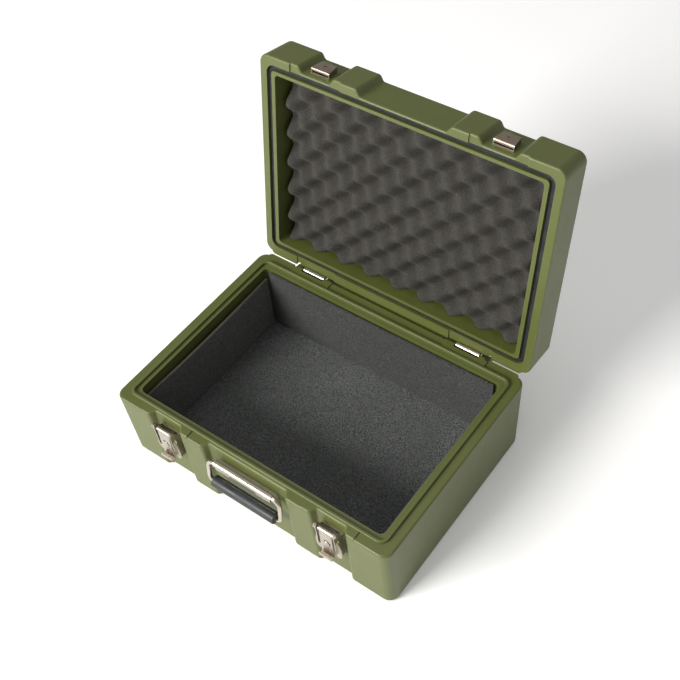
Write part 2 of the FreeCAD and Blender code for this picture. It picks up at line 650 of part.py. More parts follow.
# ---------------------------------------------------------------- hinges
hy, hz, kr = q("hinge_y"), q("hinge_z"), q("knuckle_radius")
bore = q("hinge_pin_radius") + q("hinge_bore_play")


def hinge(tag, x):
    lh, mh, kg, lt = q("leaf_half"), q("middle_half"), q("knuckle_gap"), q("leaf_thick")
    # base leaf with the two outer knuckles
    b = new_body("hinge_base_" + tag + "_b")
    feature(b, "Pad", "hb_leaf_" + tag, sketch(b, "hb_leaf_s_" + tag, "YZ", 0.0, [[
        (q("boss_rear"), hz - 1.0), (q("boss_rear"), hz - q("leaf_drop")), (q("boss_rear") + lt, hz - q("leaf_drop")), (q("boss_rear") + lt, hz - 1.0)]]),
        lh * 2, mid=True)
    feature(b, "Pad", "hb_knuckle_" + tag, sketch(b, "hb_knuckle_s_" + tag, "YZ", 0.0, [("circle", hy, hz, kr)]), lh * 2, mid=True)
    feature(b, "Pocket", "hb_gap_" + tag, sketch(b, "hb_gap_s_" + tag, "YZ", 0.0, [("circle", hy, hz, kr + 0.35)]), (mh + kg) * 2, mid=True)
    feature(b, "Pocket", "hb_bore_" + tag, sketch(b, "hb_bore_s_" + tag, "YZ", 0.0, [("circle", hy, hz, q("hinge_pin_radius"))]), 60.0, mid=True)
    feature(b, "Pocket", "hb_holes_" + tag, sketch(b, "hb_holes_s_" + tag, "XZ", -(q("boss_rear")), [("circle", dx, z, RV) for dx, z in hinge_low]), 8.0, mid=True)
    place_x(b, x)
    node(b, "hinge_base_leaf_" + tag)
    # lid leaf with the middle knuckle
    m = new_body("hinge_lid_" + tag + "_b")
    feature(m, "Pad", "hl_leaf_" + tag, sketch(m, "hl_leaf_s_" + tag, "YZ", 0.0, [[
        (q("boss_rear"), hz + q("leaf_drop")), (q("boss_rear"), hz + 1.0), (q("boss_rear") + lt, hz + 1.0), (q("boss_rear") + lt, hz + q("leaf_drop"))]]),
        lh * 2, mid=True)
    feature(m, "Pocket", "hl_gap_" + tag, sketch(m, "hl_gap_s_" + tag, "YZ", 0.0, [("circle", hy, hz, kr + 0.35)]), 60.0, mid=True)
    feature(m, "Pad", "hl_knuckle_" + tag, sketch(m, "hl_knuckle_s_" + tag, "YZ", 0.0, [("circle", hy, hz, kr)]), mh * 2, mid=True)
    feature(m, "Pad", "hl_web_" + tag, sketch(m, "hl_web_s_" + tag, "YZ", 0.0, [[
        (q("boss_rear") + 0.01, hz + 5.0), (q("boss_rear") + 0.01, hz + 2.6), (q("boss_rear") + lt, hz + 2.6), (q("boss_rear") + lt, hz + 5.0)]]), mh * 2, mid=True)
    feature(m, "Pocket", "hl_bore_" + tag, sketch(m, "hl_bore_s_" + tag, "YZ", 0.0, [("circle", hy, hz, bore)]), 60.0, mid=True)
    feature(m, "Pocket", "hl_holes_" + tag, sketch(m, "hl_holes_s_" + tag, "XZ", -(q("boss_rear")), [("circle", dx, z, RV) for dx, z in hinge_high]), 8.0, mid=True)
    place_x(m, x)
    node(m, "hinge_lid_leaf_" + tag)
    pin = cyl("hinge_pin_" + tag + "_c", q("hinge_pin_radius"), lh * 2, (x - lh, hy, hz), "X")
    node(pin, "hinge_pin_" + tag)
    return m


def rivets(label, spots, face, out):
    """Dome-headed rivets along Y. spots: (x, z); face: y of the plate's outer side; out: -1 heads point to -Y, +1 to +Y."""
    parts = []
    for k, (x, z, depth) in enumerate(spots):
        depth = Q.of(depth)
        head = doc.addObject("Part::Cone", "%s_head%d" % (label, k))
        head.Radius1, head.Radius2, head.Height = VAL["rivet_head"], VAL["rivet_head"] * 0.55, 1.1
        head.setExpression("Radius1", "dims.rivet_head")
        head.setExpression("Radius2", "dims.rivet_head * 0.55")
        x, z, face = Q.of(x), Q.of(z), Q.of(face)
        head.Placement = FreeCAD.Placement(V(x.v, face.v, z.v), FreeCAD.Rotation(V(1, 0, 0), -90 * out))
        for ax, w in (("x", x), ("y", face), ("z", z)):
            if "dims" in w.e:
                head.setExpression("Placement.Base." + ax, w.e)
        y0 = face if out < 0 else face - depth
        parts += [head, cyl("%s_shank%d" % (label, k), RV, depth, (x, y0, z), "Y")]
    f = fuse(label + "_f", parts)
    return node(f, label)


leaf_face = q("boss_rear") + q("leaf_thick")
lid_moving = []
for tag, x in sides("hinge_x"):
    lid_moving.append(hinge(tag, x))
    rivets("hinge_base_rivets_" + tag, [(x + dx, z, q("leaf_thick") + 6.5) for dx, z in hinge_low], leaf_face, 1)
    lid_moving.append(rivets("hinge_lid_rivets_" + tag, [(x + dx, z, q("leaf_thick") + 6.5) for dx, z in hinge_high], leaf_face, 1))

# ---------------------------------------------------------------- draw latches
pz, py, cz, cy = q("pivot_z"), q("pivot_y"), q("claw_z"), q("claw_y")
th = q("plate_thick")


def crescent(x, z, inner, outer, a0, a1, n=14):
    ang = [math.radians(a0 + (a1 - a0) * i / n) for i in range(n + 1)]
    return ([(x + outer * math.cos(a), z + outer * math.sin(a)) for a in ang]
            + [(x + inner * math.cos(a), z + inner * math.sin(a)) for a in reversed(ang)])


def latch(tag, x):
    # base: back plate with two side flanges that carry the pivots
    b = new_body("latch_base_%s_b" % tag)
    feature(b, "Pad", "lb_p_" + tag, sketch(b, "lb_s_" + tag, "YZ", 0.0, [[
        (-fl, 105.0), (-fl, 59.0), (-fl - 8.2, 59.0), (-fl - 8.6, 62.0), (-fl - 8.6, 97.0), (py - 0.6, 107.0), (py - 2.9, 112.6),
        (py - 3.1, 115.6), (py - 1.9, 117.4), (py + 0.4, 118.0), (py + 2.6, 116.6), (-158.2, 107.6), (-155.5, 105.0)]]), q("flange_out") * 2, mid=True)
    feature(b, "Pocket", "lb_mid_" + tag, sketch(b, "lb_mid_s_" + tag, "YZ", 0.0, [[
        (-fl - th, 125.0), (-fl - th, 50.0), (-190.0, 50.0), (-190.0, 125.0)]]), q("flange_in") * 2, mid=True)
    feature(b, "Pocket", "lb_pin_" + tag, sketch(b, "lb_pin_s_" + tag, "YZ", 0.0, [("circle", py, pz, q("pivot_radius"))]), 60.0, mid=True)
    feature(b, "Pocket", "lb_rivets_" + tag, sketch(b, "lb_rivets_s_" + tag, "XZ", fl, [("circle", dx, z, RV) for dx, z in latch_rivets]), 8.0, mid=True)
    place_x(b, x)
    node(b, "latch_base_" + tag)

    # lever: cheeks on the pivots, bell-shaped plate with an ear each side
    v = new_body("latch_lever_%s_b" % tag)
    f0 = -162.2  # back of the plate
    feature(v, "Pad", "lv_plate_" + tag, sketch(v, "lv_plate_s_" + tag, "XZ", 162.2, [[
        (q("cheek_out"), 104.0), (-q("cheek_out"), 104.0), (-q("cheek_out"), 96.0), (-16.2, 92.5), (-18.6, 86.5), (-20.2, 79.0),
        (-20.8, 71.0), (-20.2, 64.5), (-18.4, 60.4), (-16.0, 58.4), (-13.6, 58.4), (-11.6, 60.4), (-10.8, 64.0), (10.8, 64.0), (11.6, 60.4),
        (13.6, 58.4), (16.0, 58.4), (18.4, 60.4), (20.2, 64.5), (20.8, 71.0), (20.2, 79.0), (18.6, 86.5), (16.2, 92.5), (q("cheek_out"), 96.0)]]), th)
    feature(v, "Pad", "lv_cheek_" + tag, sketch(v, "lv_cheek_s_" + tag, "YZ", 0.0, [[
        (-162.2, 70.0), (-163.7, 70.0), (-166.2, 74.0), (-167.2, 78.0), (-167.6, 99.0), (py - 2.6, 110.5), (py - 2.9, 115.0), (py - 2.0, 117.2), (py + 0.4, 118.2), (py + 2.4, 116.8), (-161.0, 110.0), (-161.0, 105.5), (-162.2, 102.5)]]),
        q("cheek_out") * 2, mid=True)
    feature(v, "Pocket", "lv_mid_" + tag, sketch(v, "lv_mid_s_" + tag, "YZ", 0.0, [[
        (-150.0, 130.0), (-150.0, 104.0), (-162.2, 104.0), (-162.2, 103.2), (-163.7 - 0.2, 103.2), (-163.9, 50.0), (-190.0, 50.0), (-190.0, 130.0)]]), q("cheek_in") * 2, mid=True)
    feature(v, "Pocket", "lv_pin_" + tag, sketch(v, "lv_pin_s_" + tag, "YZ", 0.0, [
        ("circle", py, pz, q("pivot_radius") + q("pin_play")), ("circle", cy, cz, q("claw_pin_radius"))]), 60.0, mid=True)
    feature(v, "Pocket", "lv_clear_" + tag, sketch(v, "lv_clear_s_" + tag, "YZ", 0.0, [("circle", cy, cz, q("roll_radius") + 0.3)]), q("cheek_in") * 2, mid=True)
    place_x(v, x)
    node(v, "latch_lever_" + tag)

    # claw: rolled hinge barrel, flat plate with a round boss, hooked lower edge
    c = new_body("latch_claw_%s_b" % tag)
    rr, ct = q("roll_radius"), q("claw_thick")
    yo = cy - rr
    feature(c, "Pad", "cl_plate_" + tag, sketch(c, "cl_plate_s_" + tag, "YZ", 0.0, [[
        (yo, cz), (yo, 58.7), (-172.1, 58.7), (-172.1, 63.7), (-173.3, 63.7), (-173.3, 57.5), (yo + ct, 57.5), (yo + ct, cz)]]),
        q("claw_half") * 2, mid=True)
    feature(c, "Pad", "cl_roll_" + tag, sketch(c, "cl_roll_s_" + tag, "YZ", 0.0, [("circle", cy, cz, rr)]), q("roll_half") * 2, mid=True)
    feature(c, "Pad", "cl_boss_" + tag, sketch(c, "cl_boss_s_" + tag, "XZ", 166.9 - 0.3, [("circle", 0.0, 85.5, 4.4)]), 1.1)
    feature(c, "Pocket", "cl_slot_" + tag, sketch(c, "cl_slot_s_" + tag, "XZ", 166.3, [crescent(0.0, 85.5, 4.8, 6.4, -40.0, 135.0)]), 5.0, mid=True)
    feature(c, "Pocket", "cl_bore_" + tag, sketch(c, "cl_bore_s_" + tag, "YZ", 0.0, [("circle", cy, cz, q("claw_pin_radius") + q("pin_play"))]), 60.0, mid=True)
    round_edges(c, "cl_boss_round_" + tag, 0.5, lambda p, e: all(abs(s.y + 167.7) < 1e-3 for s in p))
    round_edges(c, "cl_hook_round_" + tag, 1.0, lambda p, e: all(abs(s.z - 57.5) < 1e-3 for s in p) and abs(p[0].x - p[-1].x) > 5)
    place_x(c, x)
    node(c, "latch_claw_" + tag)

    pin = cyl("latch_claw_pin_%s_c" % tag, q("claw_pin_radius"), q("cheek_out") * 2, (x - q("cheek_out"), cy, cz), "X")
    node(pin, "latch_claw_pin_" + tag)
    for side, a, s in (("in", -q("flange_out") - 0.6, 1), ("out", q("cheek_in"), 1)):
        stub = cyl("latch_pivot_%s_%s_c" % (tag, side), q("pivot_radius"), q("flange_out") + 0.6 - q("cheek_in"), (x + a, py, pz), "X")
        node(stub, "latch_pivot_%s_%s" % (tag, "a" if side == "in" else "b"))
    rivets("latch_rivets_" + tag, [(x + dx, z, th + 4.8) for dx, z in latch_rivets], -fl - th, -1)


for tag, x in sides("latch_x"):
    latch(tag, x)

# ---------------------------------------------------------------- keepers on the lid
def keeper(tag, x):
    k = new_body("keeper_%s_b" % tag)
    lo, hi, a, b = q("keeper_low"), q("keeper_high"), q("keeper_low_half"), q("keeper_high_half")
    feature(k, "Pad", "kp_p_" + tag, sketch(k, "kp_s_" + tag, "XZ", fl, [[(-a, lo), (a, lo), (b, hi), (-b, hi)]]), 8.0)
    feature(k, "Pocket", "kp_in_" + tag, sketch(k, "kp_in_s_" + tag, "XZ", fl + 4.0, [[
        (-a + 1.6, lo + 1.5), (a - 1.6, lo + 1.5), (b - 1.2, hi + 4.0), (-b + 1.2, hi + 4.0)]]), 5.0, mid=True)
    feature(k, "Pocket", "kp_under_" + tag, sketch(k, "kp_under_s_" + tag, "XZ", fl + 2.75, [[
        (-a + 1.6, lo - 1.0), (a - 1.6, lo - 1.0), (a - 1.6, lo + 2.5), (-a + 1.6, lo + 2.5)]]), 2.5, mid=True)
    feature(k, "Pocket", "kp_rivet_" + tag, sketch(k, "kp_rivet_s_" + tag, "XZ", fl, [("circle", 0.0, keeper_rivet, RV)]), 6.0, mid=True)
    feature(k, "Pocket", "kp_access_" + tag, sketch(k, "kp_access_s_" + tag, "XZ", fl + 7.5, [("circle", 0.0, keeper_rivet, 2.2)]), 5.0, mid=True)
    round_edges(k, "kp_round_" + tag, 2.2, lambda p, e: all(abs(s.y + 160.0) < 1e-3 and abs(s.z - VAL["keeper_low"]) < 1e-3 for s in p))
    place_x(k, x)
    node(k, "keeper_" + tag)
    lid_moving.append(k)
    lid_moving.append(rivets("keeper_rivet_" + tag, [(x, keeper_rivet, th + 4.8)], -fl - th, -1))


for tag, x in sides("keeper_x"):
    keeper(tag, x)

# ---------------------------------------------------------------- handle
by, bz, br_, rr_ = q("barrel_y"), q("barrel_z"), q("barrel_radius"), q("rod_radius")
h = new_body("handle_bracket_b")
feature(h, "Pad", "hd_web", sketch(h, "hd_web_s", "YZ", 0.0, [[
    (-fl, 102.2), (-fl, 78.0), (-fl - th, 78.0), (-fl - th, 100.6), (by, 100.6), (by, 101.4), (by + 2.0, 102.2)]]), q("barrel_half") * 2, mid=True)
feature(h, "Pad", "hd_barrel", sketch(h, "hd_barrel_s", "YZ", 0.0, [("circle", by, bz, br_)]), q("barrel_half") * 2, mid=True)
feature(h, "Pad", "hd_tabs", sketch(h, "hd_tabs_s", "YZ", 0.0, [[
    (by - 1.4, 103.0), (by - 1.4, 95.8), (by - 2.9, 95.8), (by - 2.9, 103.0)]]), 92.0, mid=True)
feature(h, "Pocket", "hd_tab_gap", sketch(h, "hd_tab_gap_s", "YZ", 0.0, [[
    (by + 1.0, bz - br_), (by + 1.0, 90.0), (by - 6.0, 90.0), (by - 6.0, bz - br_)]]), 44.0, mid=True)
feature(h, "Pocket", "hd_bore", sketch(h, "hd_bore_s", "YZ", 0.0, [("circle", by, bz, rr_ + q("rod_play"))]), 120.0, mid=True)
feature(h, "Pocket", "hd_rivets", sketch(h, "hd_rivets_s", "XZ", fl, [("circle", dx, z, RV) for dx, z in bracket_rivets]), 8.0, mid=True)
node(h, "handle_bracket")
rivets("handle_rivets", [(dx, z, th + 4.8) for dx, z in bracket_rivets], -fl - th, -1)

# bail: one closed loop of round bar, drawn hanging straight from its axis, then tilted out
bh, bd, rlow = q("bail_half"), q("bail_drop"), q("bail_low_radius")
rtop = bh - q("barrel_half") - 0.15
top_half = bh - rtop


def quarter(name, R, x, z, start):
    t = doc.addObject("Part::Torus", name)
    R, x, z = Q.of(R), Q.of(x), Q.of(z)
    t.Radius1, t.Radius2, t.Angle3 = R.v, VAL["rod_radius"], 90
    t.setExpression("Radius1", R.e)
    t.setExpression("Radius2", "dims.rod_radius")
    # the torus lies in its own XY plane; turn it into XZ and spin it to its quarter
    rot = FreeCAD.Rotation(V(1, 0, 0), 90).multiply(FreeCAD.Rotation(V(0, 0, 1), start))
    t.Placement = FreeCAD.Placement(V(x.v, VAL["barrel_y"], z.v), rot)
    t.setExpression("Placement.Base.x", x.e)
    t.setExpression("Placement.Base.y", "dims.barrel_y")
    t.setExpression("Placement.Base.z", z.e)
    return t


low_z = bz - bd
bail_parts = [
    cyl("bail_top", rr_, top_half * 2, (-top_half, by, bz), "X"),
    cyl("bail_side_r", rr_, bd - rtop - rlow, (bh, by, low_z + rlow), "Z"),
    cyl("bail_side_l", rr_, bd - rtop - rlow, (-bh, by, low_z + rlow), "Z"),
    cyl("bail_low", rr_, (bh - rlow) * 2, (-bh + rlow, by, low_z), "X"),
    quarter("bail_c1", rtop, bh - rtop, bz - rtop, 0),
    quarter("bail_c2", rtop, -bh + rtop, bz - rtop, 90),
    quarter("bail_c3", rlow, -bh + rlow, low_z + rlow, 180),
    quarter("bail_c4", rlow, bh - rlow, low_z + rlow, 270),
]
bail = fuse("bail_f", bail_parts)
TILT = FreeCAD.Rotation(V(1, 0, 0), -VAL["bail_tilt"])
AXIS = V(0, VAL["barrel_y"], VAL["barrel_z"])


def tilt(obj):
    obj.Placement = FreeCAD.Placement(AXIS - TILT.multVec(AXIS), TILT).multiply(obj.Placement)


tilt(bail)
node(bail, "handle_bail")
g = new_body("handle_grip_b")
feature(g, "Pad", "gr_p", sketch(g, "gr_s", "YZ", 0.0, [("circle", by, low_z, q("grip_radius")), ("circle", by, low_z, rr_)]), q("grip_half") * 2, mid=True)
round_edges(g, "gr_round", 1.4, lambda p, e: e.Curve.TypeId == "Part::GeomCircle" and abs(e.Curve.Radius - VAL["grip_radius"]) < 1e-3)
tilt(g)
node(g, "handle_grip")

# ---------------------------------------------------------------- lid pieces stand open
doc.recompute()
for obj in [lid_shell, gasket, lid_foam] + lid_moving:
    open_lid(obj)
doc.recompute()

# ---------------------------------------------------------------- checks and files
bad = []
for o in doc.Objects:
    if "Invalid" in o.State or "Error" in o.State:
        bad.append((o.Name, o.State))
for label, o in NODES:
    s = o.Shape
    if s.isNull() or not s.isValid():
        bad.append((label, "shape"))
if bad:
    for b in bad:
        print("BAD", b)
    raise RuntimeError("objects with errors: %d" % len(bad))
os.makedirs("parts", exist_ok=True)
for label, o in NODES:
    o.Shape.exportStep("parts/%s.step" % label)
    print("%-24s solids %d  volume %.1f" % (label, len(o.Shape.Solids), o.Shape.Volume))
print("nodes", len(NODES))
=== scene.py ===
import json
import math

import bmesh
import bpy
import numpy as np
from mathutils import Matrix, Vector, noise


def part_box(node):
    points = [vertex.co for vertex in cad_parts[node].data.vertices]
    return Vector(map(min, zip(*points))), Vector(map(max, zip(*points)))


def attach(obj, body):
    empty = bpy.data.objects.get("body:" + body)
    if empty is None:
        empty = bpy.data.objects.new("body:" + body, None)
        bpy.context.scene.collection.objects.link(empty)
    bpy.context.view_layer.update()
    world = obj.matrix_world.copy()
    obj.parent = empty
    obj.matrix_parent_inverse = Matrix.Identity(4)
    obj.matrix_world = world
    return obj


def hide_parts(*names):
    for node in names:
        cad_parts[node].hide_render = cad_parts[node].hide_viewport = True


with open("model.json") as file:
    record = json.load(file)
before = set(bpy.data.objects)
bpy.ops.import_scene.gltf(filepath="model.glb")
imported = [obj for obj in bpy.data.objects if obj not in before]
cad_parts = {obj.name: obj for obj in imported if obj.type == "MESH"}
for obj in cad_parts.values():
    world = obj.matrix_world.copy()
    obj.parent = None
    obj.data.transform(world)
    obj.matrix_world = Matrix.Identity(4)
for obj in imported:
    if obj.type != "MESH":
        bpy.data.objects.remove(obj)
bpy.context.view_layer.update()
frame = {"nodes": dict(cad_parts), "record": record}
nodes = frame["nodes"]
scene = bpy.context.scene

MM = 0.001
LID_AXIS = Vector((0.0, 0.16507, 0.12194))      # hinge line of the lid
LID_ANGLE = math.radians(-98.53)                # from shut to the open rest pose
LID = (Matrix.Translation(LID_AXIS) @ Matrix.Rotation(LID_ANGLE, 4, "X")
       @ Matrix.Translation(-LID_AXIS))


# ------------------------------------------------------------------ materials
class Tree:
    """Small helper for node materials whose patterns live in the row frame, in metres."""

    def __init__(self, name):
        self.mat = bpy.data.materials.new(name)
        self.mat.use_nodes = True
        self.t = self.mat.node_tree
        self.t.nodes.clear()
        self.out = self.add("ShaderNodeOutputMaterial")
        self.bsdf = self.add("ShaderNodeBsdfPrincipled")
        self.link(self.bsdf.outputs["BSDF"], self.out.inputs["Surface"])
        self.co = self.add("ShaderNodeTexCoord").outputs["Object"]

    def add(self, kind, **kw):
        n = self.t.nodes.new(kind)
        for k, v in kw.items():
            setattr(n, k, v)
        return n

    def link(self, a, b):
        self.t.links.new(a, b)

    def scaled(self, x, y, z, rot=(0, 0, 0)):
        m = self.add("ShaderNodeMapping")
        m.inputs["Scale"].default_value = (x, y, z)
        m.inputs["Rotation"].default_value = rot
        self.link(self.co, m.inputs["Vector"])
        return m.outputs["Vector"]

    def noise(self, scale, detail=2.0, rough=0.5, distort=0.0, co=None):
        n = self.add("ShaderNodeTexNoise")
        n.inputs["Scale"].default_value = scale
        n.inputs["Detail"].default_value = detail
        n.inputs["Roughness"].default_value = rough
        n.inputs["Distortion"].default_value = distort
        self.link(co or self.co, n.inputs["Vector"])
        return n.outputs["Fac"]

    def noise_tint(self, scale, detail=2.0):
        n = self.add("ShaderNodeTexNoise")
        n.inputs["Scale"].default_value = scale
        n.inputs["Detail"].default_value = detail
        self.link(self.co, n.inputs["Vector"])
        return n.outputs["Color"]

    def height_above(self, z0, z1):
        sep = self.add("ShaderNodeSeparateXYZ")
        self.link(self.co, sep.inputs[0])
        return self.span(sep.outputs["Z"], z0, z1)

    def voronoi(self, scale, feature="F1", co=None):
        n = self.add("ShaderNodeTexVoronoi", feature=feature)
        n.inputs["Scale"].default_value = scale
        self.link(co or self.co, n.inputs["Vector"])
        return n.outputs["Distance"]

    def span(self, value, a, b, lo=0.0, hi=1.0, clamp=True):
        m = self.add("ShaderNodeMapRange", clamp=clamp)
        for k, v in (("From Min", a), ("From Max", b), ("To Min", lo), ("To Max", hi)):
            m.inputs[k].default_value = v
        self.link(value, m.inputs["Value"])
        return m.outputs["Result"]

    def math(self, op, a, b=None):
        m = self.add("ShaderNodeMath", operation=op)
        for i, v in enumerate((a, b)):
            if v is None:
                continue
            if isinstance(v, (int, float)):
                m.inputs[i].default_value = v
            else:
                self.link(v, m.inputs[i])
        return m.outputs[0]

    def mix(self, fac, a, b, blend="MIX"):
        m = self.add("ShaderNodeMix", data_type="RGBA", blend_type=blend)
        for sock, v in ((m.inputs[0], fac), (m.inputs[6], a), (m.inputs[7], b)):
            if isinstance(v, (int, float)):
                sock.default_value = v
            elif isinstance(v, tuple):
                sock.default_value = (*v, 1.0)
            else:
                self.link(v, sock)
        return m.outputs[2]

    def edge(self, radius, gain=1.0, samples=6):
        """0 on flat faces, up to 1 on convex and concave edges."""
        bev = self.add("ShaderNodeBevel", samples=samples)
        bev.inputs["Radius"].default_value = radius
        geo = self.add("ShaderNodeNewGeometry")
        dot = self.add("ShaderNodeVectorMath", operation="DOT_PRODUCT")
        self.link(bev.outputs["Normal"], dot.inputs[0])
        self.link(geo.outputs["Normal"], dot.inputs[1])
        return self.span(dot.outputs["Value"], 1.0, 1.0 - 0.25 / gain)

    def bump(self, height, strength, distance, normal=None):
        b = self.add("ShaderNodeBump")
        b.inputs["Strength"].default_value = strength
        b.inputs["Distance"].default_value = distance
        self.link(height, b.inputs["Height"])
        if normal is not None:
            self.link(normal, b.inputs["Normal"])
        return b.outputs["Normal"]

    def set(self, **kw):
        for k, v in kw.items():
            k = k.replace("_", " ")
            s = self.bsdf.inputs[k]
            if isinstance(v, (int, float)):
                s.default_value = v
            elif isinstance(v, tuple):
                s.default_value = (*v, 1.0) if s.type == "RGBA" else v
            else:
                self.link(v, s)
        return self.mat


def shell_material():
    t = Tree("moulded_green")
    broad = t.noise(5.0, 3.0, 0.55)
    cloud = t.noise(22.0, 4.0, 0.6)
    grain = t.noise(900.0, 2.0, 0.6)
    col = t.mix(t.span(broad, 0.35, 0.65), (0.085, 0.101, 0.0175), (0.097, 0.114, 0.0225))
    col = t.mix(t.span(cloud, 0.35, 0.70, 0.0, 0.35), col, (0.112, 0.127, 0.040))
    col = t.mix(t.span(grain, 0.35, 0.65, 0.0, 0.16), col, (0.060, 0.070, 0.020))
    # painted highlight: rounded edges are made paler green, standing in for the light they catch
    edge = t.edge(2.2 * MM, 1.2)
    col = t.mix(t.math("MULTIPLY", edge, 0.35), col, (0.180, 0.200, 0.085))
    rough = t.span(t.math("ADD", t.span(cloud, 0.3, 0.7, 0.0, 0.6), t.span(grain, 0.3, 0.7, 0.0, 0.4)), 0.0, 1.0, 0.38, 0.52)
    peel = t.noise(160.0, 2.0, 0.5)
    n = t.bump(peel, 0.10, 0.6 * MM)
    n = t.bump(grain, 0.16, 0.25 * MM, n)
    return t.set(Base_Color=col, Roughness=rough, Normal=n, Specular_IOR_Level=0.55)


def scaled3(k, *cols):
    return [tuple(c * k for c in col) for col in cols]


def foam_material(name, dark, mid, light, speck=520.0, sheen=0.2, strength=0.7, tint=0.35, pale_top_band=None):
    t = Tree(name)
    cells = t.noise(speck, 3.0, 0.65)
    fine = t.noise(speck * 2.3, 2.0, 0.6)
    pores = t.voronoi(speck * 1.1)
    broad = t.noise(9.0, 4.0, 0.6)
    col = t.mix(t.span(cells, 0.43, 0.57), dark, mid)
    col = t.mix(t.span(fine, 0.50, 0.60), col, light)
    col = t.mix(t.span(broad, 0.3, 0.7, 0.0, 0.35), col, tuple(c * 0.62 for c in mid))
    # each cell wall catches a slightly different hue
    col = t.mix(tint, col, t.mix(1.0, col, t.mix(1.0, t.noise_tint(speck * 0.9), (2.0, 2.0, 2.0), "MULTIPLY"), "MULTIPLY"))
    if pale_top_band is not None:
        # the top face and a band just below it are painted paler and browner than the rest
        top, shade = pale_top_band
        fuzz = t.span(cells, 0.3, 0.7, 0.65, 1.0)
        col = t.mix(t.math("MULTIPLY", t.height_above(top - 1.6 * MM, top - 0.5 * MM), fuzz), col, shade)
    n = t.bump(t.math("ADD", cells, t.math("MULTIPLY", pores, 0.6)), strength, 0.9 * MM)
    return t.set(Base_Color=col, Roughness=t.span(cells, 0.3, 0.7, 0.86, 1.0), Normal=n,
                 Specular_IOR_Level=0.12, Sheen_Weight=sheen, Sheen_Roughness=0.6,
                 Sheen_Tint=(0.55, 0.53, 0.52))


def metal_material(name, color, rough, scratch=(260.0, 40.0, 40.0), tarnish_and_reflection=(0.36, 0.31, 0.22), bump=0.06):
    t = Tree(name)
    cloud = t.noise(70.0, 4.0, 0.6)
    lines = t.noise(1.0, 3.0, 0.6, co=t.scaled(*scratch))
    # patches of a browner colour: partly tarnish, partly a painted warm reflection of the olive shell
    col = t.mix(t.span(cloud, 0.42, 0.72, 0.0, 0.55), color, tarnish_and_reflection)
    edge = t.edge(0.6 * MM, 1.2)
    col = t.mix(t.math("MULTIPLY", edge, 0.7), col, tuple(min(1.0, c * 1.6) for c in color))
    r = t.span(t.math("ADD", t.math("MULTIPLY", cloud, 0.6), t.math("MULTIPLY", lines, 0.4)), 0.3, 0.7,
               rough * 0.7, rough * 1.45)
    n = t.bump(lines, bump, 0.15 * MM)
    return t.set(Base_Color=col, Metallic=1.0, Roughness=r, Normal=n)


def grip_material():
    t = Tree("moulded_grip")
    cloud = t.noise(45.0, 4.0, 0.6)
    grain = t.noise(1100.0, 2.0, 0.6)
    col = t.mix(t.span(cloud, 0.3, 0.7), (0.016, 0.020, 0.021), (0.030, 0.036, 0.037))
    col = t.mix(t.span(grain, 0.5, 0.7, 0.0, 0.35), col, (0.070, 0.078, 0.080))
    n = t.bump(grain, 0.25, 0.25 * MM)
    return t.set(Base_Color=col, Roughness=t.span(cloud, 0.3, 0.7, 0.40, 0.56), Normal=n, Specular_IOR_Level=0.42)


def gasket_material():
    t = Tree("gasket_rubber")
    cloud = t.noise(60.0, 3.0, 0.6)
    grain = t.noise(1400.0, 2.0, 0.6)
    col = t.mix(t.span(cloud, 0.3, 0.7), (0.010, 0.011, 0.013), (0.026, 0.028, 0.031))
    n = t.bump(grain, 0.3, 0.2 * MM)
    return t.set(Base_Color=col, Roughness=t.span(grain, 0.3, 0.7, 0.5, 0.72), Normal=n, Specular_IOR_Level=0.35)


# painted reflection: the keepers get a darker, browner nickel standing in for the dark olive surroundings they
# reflect
NICKEL_PAINTED_DARK_REFLECTION = metal_material("nickel_painted_dark_reflection", (0.40, 0.33, 0.27), 0.30, tarnish_and_reflection=(0.22, 0.16, 0.11))
MATS = {
    "shell_green": shell_material(),
    "foam_charcoal": foam_material("sheet_foam", (0.010, 0.011, 0.012), (0.050, 0.053, 0.052), (0.120, 0.125, 0.125)),
    "foam_eggcrate": foam_material("eggcrate_foam", (0.016, 0.015, 0.0135), (0.050, 0.0475, 0.042), (0.090, 0.086, 0.077),
                                   speck=900.0, sheen=0.08, strength=0.4),
    "gasket_black": gasket_material(),
    "bright_steel": metal_material("bright_nickel", (0.50, 0.455, 0.395), 0.31),
    "rod_steel": metal_material("nickel_rod", (0.60, 0.55, 0.47), 0.24),
    "hinge_steel": metal_material("satin_hinge", (0.58, 0.52, 0.45), 0.30),
    "pin_steel": metal_material("pin_steel", (0.52, 0.50, 0.46), 0.30),
    "rivet_steel": metal_material("rivet_steel", (0.48, 0.46, 0.43), 0.34),
    "grip_black": grip_material(),
}


def set_material(o, mat):
    o.data.materials.clear()
    o.data.materials.append(mat)
    for p in o.data.polygons:
        p.material_index = 0


for sub in frame["record"]["subparts"]:
    o = nodes.get(sub["node"])
    if o is not None:
        set_material(o, NICKEL_PAINTED_DARK_REFLECTION if sub["node"].startswith("keeper_") else MATS[sub["material_slot"]])


# ------------------------------------------------------------------ meshes
def mesh_object(name, verts, faces, mat, smooth=True):
    me = bpy.data.meshes.new(name)
    me.from_pydata([tuple(v) for v in verts], [], [tuple(f) for f in faces])
    me.validate()
    bm = bmesh.new()
    bm.from_mesh(me)
    bmesh.ops.recalc_face_normals(bm, faces=bm.faces)
    bm.to_mesh(me)
    bm.free()
    if smooth:
        for p in me.polygons:
            p.use_smooth = True
    me.materials.append(mat)
    o = bpy.data.objects.new(name, me)
    scene.collection.objects.link(o)
    return o


def lines(a, b, r, step):
    """Grid lines from a to b: tight round the edge radius, even in between."""
    inner = max(1, int(round((b - a - 2 * r) / step)))
    lead = [a, a + 0.12 * r, a + 0.4 * r, a + 0.75 * r]
    mid = list(np.linspace(a + r, b - r, inner + 1))
    return lead + mid + [b - 0.75 * r, b - 0.4 * r, b - 0.12 * r, b]


